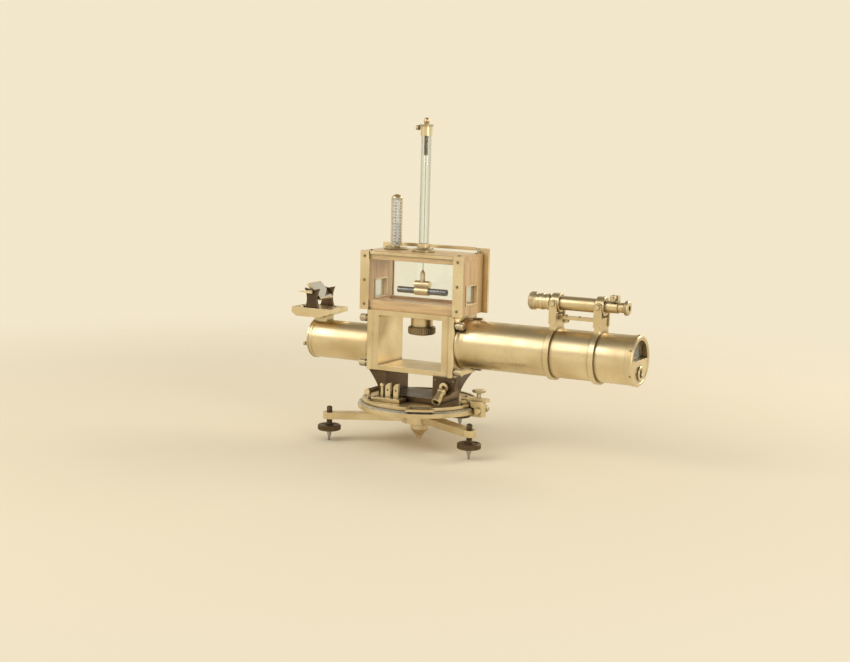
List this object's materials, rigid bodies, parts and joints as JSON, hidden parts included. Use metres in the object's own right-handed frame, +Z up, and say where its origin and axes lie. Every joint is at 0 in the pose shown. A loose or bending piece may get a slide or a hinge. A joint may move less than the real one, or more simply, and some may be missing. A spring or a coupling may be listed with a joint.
{
  "type": "unifilar magnetometer",
  "caption": "Survey magnetometer: levelling tripod, divided circle, open frame with two side tubes, reading telescope, sun mirror, glass-fronted magnet box and tall suspension tube.",
  "frame": {"origin": "on the vertical azimuth axis, at the level of the three foot points", "axes": "+X along the long tube towards its end window, +Y to the back of the magnet box, +Z up"},
  "size_m": [0.614, 0.269, 0.5283],
  "materials": {
    "lacquered_brass": "lacquered, satin",
    "bronzed_brass": "chemically bronzed, dark",
    "steel": "turned",
    "magnet_steel": "hardened, polished",
    "box_wood": "varnished",
    "clear_glass": "clear",
    "silvered_mirror": "silvered"
  },
  "bodies": {
    "tripod": {"tripod_frame": "lacquered_brass", "limb_circle": "lacquered_brass", "axis_socket": "lacquered_brass"},
    "alidade": {"vernier_plate": "lacquered_brass", "vernier_window": "lacquered_brass", "axis_spindle": "steel", "cradle": "bronzed_brass", "plate_level": "lacquered_brass", "level_vial": "clear_glass", "lug_bracket": "lacquered_brass", "magnifier_bracket": "bronzed_brass", "clamp_bar": "lacquered_brass", "clamp_block": "lacquered_brass", "frame_floor": "lacquered_brass", "frame_top": "lacquered_brass", "side_plate_left": "lacquered_brass", "side_plate_right": "lacquered_brass", "frame_screws": "lacquered_brass", "left_tube": "lacquered_brass", "left_tube_cap": "lacquered_brass", "right_tube": "lacquered_brass", "right_end_cap": "lacquered_brass", "eye_lens_mount": "lacquered_brass", "window_glasses": "clear_glass", "support_band_left": "lacquered_brass", "support_band_right": "lacquered_brass", "link_bar": "lacquered_brass", "mirror_platform": "lacquered_brass", "mirror_standards": "bronzed_brass", "box_floor": "box_wood", "box_top": "box_wood", "box_wall_left": "box_wood", "box_wall_right": "box_wood", "pane_guides": "lacquered_brass", "thermometer_case": "lacquered_brass", "thermometer_stem": "clear_glass", "suspension_flange": "lacquered_brass", "suspension_tube": "clear_glass"},
    "magnifier": {"vernier_magnifier": "lacquered_brass"},
    "clamp_screw": {"azimuth_clamp_screw": "lacquered_brass"},
    "slow_motion_screw": {"tangent_screw": "lacquered_brass"},
    "box_nut": {"box_clamp_nut": "bronzed_brass"},
    "front_glass": {"front_pane": "clear_glass"},
    "rear_glass": {"rear_pane": "clear_glass"},
    "torsion_top": {"torsion_head": "lacquered_brass"},
    "suspended_magnet": {"stirrup": "lacquered_brass", "magnet": "magnet_steel"},
    "telescope": {"telescope_tube": "lacquered_brass", "objective_cell": "lacquered_brass", "objective_lens": "clear_glass"},
    "eyepiece": {"draw_tube": "lacquered_brass"},
    "focusing_pinion": {"focus_knob": "lacquered_brass"},
    "mirror": {"mirror_frame": "lacquered_brass", "mirror_glass": "silvered_mirror"},
    "foot_left": {"foot_point_left": "steel"},
    "screw_left": {"levelling_screw_left": "bronzed_brass"},
    "foot_right": {"foot_point_right": "steel"},
    "screw_right": {"levelling_screw_right": "bronzed_brass"},
    "foot_rear": {"foot_point_rear": "steel"},
    "screw_rear": {"levelling_screw_rear": "bronzed_brass"}
  },
  "joints": [
    {"name": "foot_travel_left", "type": "slide", "parent": "tripod", "child": "foot_left", "axis": [0, 0, 1], "range_m": [-0.005, 0.005]},
    {"name": "levelling_turn_left", "type": "hinge", "parent": "foot_left", "child": "screw_left", "pos_m": [-0.12817, -0.074, 0], "axis": [0, 0, 1], "range_deg": [-1470, 1470]},
    {"name": "foot_travel_right", "type": "slide", "parent": "tripod", "child": "foot_right", "axis": [0, 0, 1], "range_m": [-0.005, 0.005]},
    {"name": "levelling_turn_right", "type": "hinge", "parent": "foot_right", "child": "screw_right", "pos_m": [0.12817, -0.074, 0], "axis": [0, 0, 1], "range_deg": [-1470, 1470]},
    {"name": "foot_travel_rear", "type": "slide", "parent": "tripod", "child": "foot_rear", "axis": [0, 0, 1], "range_m": [-0.005, 0.005]},
    {"name": "levelling_turn_rear", "type": "hinge", "parent": "foot_rear", "child": "screw_rear", "pos_m": [0, 0.148, 0], "axis": [0, 0, 1], "range_deg": [-1470, 1470]},
    {"name": "azimuth_turn", "type": "hinge", "parent": "tripod", "child": "alidade", "pos_m": [0, 0, 0], "axis": [0, 0, 1], "continuous": true},
    {"name": "azimuth_clamp_turn", "type": "hinge", "parent": "alidade", "child": "clamp_screw", "pos_m": [0.107, 0, 0.09], "axis": [0, 0, 1], "range_deg": [0, 270]},
    {"name": "slow_motion_turn", "type": "hinge", "parent": "alidade", "child": "slow_motion_screw", "pos_m": [0.111, 0, 0.064], "axis": [0, 1, 0], "range_deg": [-720, 720]},
    {"name": "box_nut_turn", "type": "hinge", "parent": "alidade", "child": "box_nut", "pos_m": [0, 0, 0.185], "axis": [0, 0, 1], "range_deg": [0, 300]},
    {"name": "magnifier_swing", "type": "hinge", "parent": "alidade", "child": "magnifier", "pos_m": [0.068, -0.045, 0.104], "axis": [0, 1, 0], "range_deg": [-60, 60]},
    {"name": "front_pane_slide", "type": "slide", "parent": "alidade", "child": "front_glass", "axis": [0, 0, 1], "range_m": [0, 0.06]},
    {"name": "rear_pane_slide", "type": "slide", "parent": "alidade", "child": "rear_glass", "axis": [0, 0, 1], "range_m": [0, 0.06]},
    {"name": "torsion_turn", "type": "hinge", "parent": "alidade", "child": "torsion_top", "pos_m": [0, 0, 0.511], "axis": [0, 0, 1], "continuous": true},
    {"name": "magnet_swing", "type": "hinge", "parent": "alidade", "child": "suspended_magnet", "pos_m": [0, 0, 0.249], "axis": [0, 0, 1], "range_deg": [-40, 40]},
    {"name": "telescope_tilt", "type": "hinge", "parent": "alidade", "child": "telescope", "pos_m": [0.238, 0, 0.249], "axis": [0, 1, 0], "range_deg": [-1.5, 1.5]},
    {"name": "draw_tube_slide", "type": "slide", "parent": "telescope", "child": "eyepiece", "axis": [1, 0, 0], "range_m": [-0.005, 0.01]},
    {"name": "focus_turn", "type": "hinge", "parent": "telescope", "child": "focusing_pinion", "pos_m": [0.333, 0, 0.2638], "axis": [0, 1, 0], "range_deg": [-75, 150]},
    {"name": "mirror_tilt", "type": "hinge", "parent": "alidade", "child": "mirror", "pos_m": [-0.196, 0, 0.235], "axis": [0, 1, 0], "range_deg": [-60, 60]}
  ],
  "couplings": [
    {"joint": "levelling_turn_left", "follows": "foot_travel_left", "rad_per_m": 5026.5},
    {"joint": "levelling_turn_right", "follows": "foot_travel_right", "rad_per_m": 5026.5},
    {"joint": "levelling_turn_rear", "follows": "foot_travel_rear", "rad_per_m": 5026.5},
    {"joint": "focus_turn", "follows": "draw_tube_slide", "rad_per_m": 250}
  ]
}
